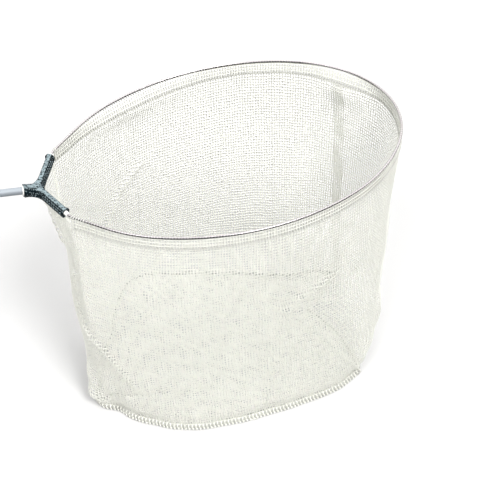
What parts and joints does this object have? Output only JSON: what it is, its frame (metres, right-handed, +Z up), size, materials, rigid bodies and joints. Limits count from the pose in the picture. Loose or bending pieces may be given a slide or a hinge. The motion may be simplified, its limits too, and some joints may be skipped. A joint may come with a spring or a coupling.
{
  "type": "leaf skimmer net",
  "caption": "Deep-bag leaf skimmer net: oval steel hoop, moulded Y yoke, mesh bag and twist-lock telescopic pole.",
  "frame": {"origin": "middle of the hand grip, on the pole's axis", "axes": "+X from the hand towards the hoop's tip, +Y across the hoop, +Z up, with the bag hanging along -Z; the hoop lies level and the pole rises towards the hand by 9 degrees"},
  "size_m": [1.5344, 0.445, 0.8352],
  "materials": {
    "polished_steel": "polished stainless rod",
    "yoke_plastic": "satin moulded, dark slate",
    "white_plastic": "smooth moulded",
    "screw_steel": "zinc plated",
    "pole_aluminium": "satin anodised",
    "lock_plastic": "satin moulded",
    "grip_rubber": "matt",
    "netting": "knitted polyester mesh, ivory",
    "stitching": "sewing thread"
  },
  "bodies": {
    "handle": {"outer_tube": "pole_aluminium", "lock_collet": "lock_plastic", "hand_grip": "grip_rubber", "end_cap": "lock_plastic"},
    "collar": {"lock_collar": "lock_plastic"},
    "head": {"inner_tube": "pole_aluminium", "glide_plug": "white_plastic", "socket_liner": "white_plastic", "pole_screw": "screw_steel", "yoke": "yoke_plastic", "hoop_screws": "screw_steel", "far_ferrule": "white_plastic", "near_ferrule": "white_plastic", "hoop_rod": "polished_steel", "net_hem": "netting", "hem_thread": "stitching", "net_wall": "netting", "side_seam": "netting", "foot_seam": "netting", "foot_panel": "netting"}
  },
  "joints": [
    {"name": "pole_slide", "type": "slide", "parent": "handle", "child": "head", "axis": [0.9877, 0, -0.1564], "range_m": [0, 0.5]},
    {"name": "collar_turn", "type": "hinge", "parent": "handle", "child": "collar", "pos_m": [0, 0, 0], "axis": [0.9877, 0, -0.1564], "range_deg": [0, 120]}
  ]
}
